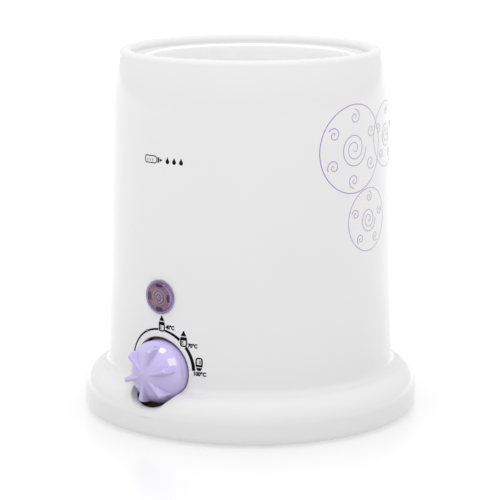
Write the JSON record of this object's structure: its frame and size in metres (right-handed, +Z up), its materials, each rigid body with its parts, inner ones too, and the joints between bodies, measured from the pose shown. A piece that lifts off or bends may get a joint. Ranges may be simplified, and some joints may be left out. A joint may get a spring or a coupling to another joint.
{
  "type": "bottle warmer",
  "caption": "Round tapered bottle warmer with a flanged foot, an open water well with a heated floor, a finned dome knob and an indicator lamp.",
  "frame": {"origin": "centre of the footprint, on the surface the four feet stand on", "axes": "+Z up, the knob and the lamp face -Y, the cord entry faces +Y"},
  "size_m": [0.136, 0.136, 0.147],
  "materials": {
    "shell_white": "glossy moulded white",
    "bowl_white": "glossy moulded white",
    "silicone": "matte translucent silicone",
    "screw_steel": "zinc plated",
    "plate_steel": "brushed stainless",
    "pressed_steel": "galvanised",
    "element_case": "cast, matte",
    "tinned_brass": "tinned",
    "spring_steel": "blued spring steel",
    "phenolic": "dark brown laminate",
    "frame_aluminium": "stamped",
    "brass": "turned",
    "spindle_steel": "turned",
    "ceramic": "unglazed steatite",
    "spring_bronze": "rolled",
    "bimetal": "rolled",
    "knob_lavender": "glossy lavender",
    "lens_purple": "clear purple",
    "nylon_white": "natural nylon",
    "nylon_clear": "semi-clear sleeve",
    "bulb_glass": "clear",
    "sleeve_grey": "shrink sleeve",
    "lead_brown": "silicone covered",
    "lead_blue": "silicone covered",
    "lead_green": "silicone covered",
    "lead_white": "fine covered lead",
    "bush_rubber": "matte grey-white",
    "base_plastic": "textured white",
    "foot_rubber": "soft grey"
  },
  "bodies": {
    "housing": {"outer_shell": "shell_white", "inner_bowl": "bowl_white", "rim_seal": "silicone", "bowl_screws": "screw_steel", "heating_plate": "plate_steel", "plate_seal": "silicone", "plate_clamp_ring": "pressed_steel", "ring_screws": "screw_steel", "bracket_screw": "screw_steel", "earth_screw": "screw_steel", "earth_tag": "tinned_brass", "heater_element": "element_case", "heater_clamp": "pressed_steel", "heater_nut": "screw_steel", "thermal_fuse": "tinned_brass", "fuse_clip": "spring_steel", "fuse_clip_screws": "screw_steel", "mounting_board": "phenolic", "board_screws": "screw_steel", "thermostat_frame": "frame_aluminium", "thermostat_bush": "brass", "spindle_nut": "brass", "insulator_blocks": "ceramic", "stack_rivet": "brass", "blade_terminal": "tinned_brass", "bimetal_strip": "bimetal", "indicator_lens": "lens_purple", "lamp_holder": "nylon_white", "neon_bulb": "bulb_glass", "lamp_resistor": "sleeve_grey", "terminal_block": "nylon_white", "terminal_sleeves": "brass", "terminal_screws": "screw_steel", "block_screws": "screw_steel", "spade_connectors": "nylon_clear", "live_lead": "lead_brown", "heater_lead": "lead_brown", "fuse_lead": "lead_blue", "neutral_lead": "lead_blue", "earth_lead": "lead_green", "lamp_leads": "lead_white", "cord_bush": "bush_rubber", "base_plate": "base_plastic", "base_screws": "screw_steel", "rubber_feet": "foot_rubber"},
    "knob": {"control_knob": "knob_lavender", "spindle": "spindle_steel", "knob_spring_clip": "spring_steel"},
    "pin": {"push_pin": "ceramic"},
    "blade": {"contact_blade": "spring_bronze"}
  },
  "joints": [
    {"name": "knob_turn", "type": "hinge", "parent": "housing", "child": "knob", "pos_m": [0, -0.06, 0.02485], "axis": [0, 1, 0], "range_deg": [0, 180]},
    {"name": "pin_push", "type": "slide", "parent": "housing", "child": "pin", "axis": [0, 1, 0], "range_m": [0, 0.0004]},
    {"name": "blade_bend", "type": "hinge", "parent": "housing", "child": "blade", "pos_m": [0, -0.04, 0.04], "axis": [1, 0, 0], "range_deg": [0, 1.52]}
  ],
  "couplings": [
    {"joint": "pin_push", "follows": "knob_turn", "m_per_rad": 0.00012732},
    {"joint": "blade_bend", "follows": "knob_turn", "ratio": 0.0084444}
  ]
}
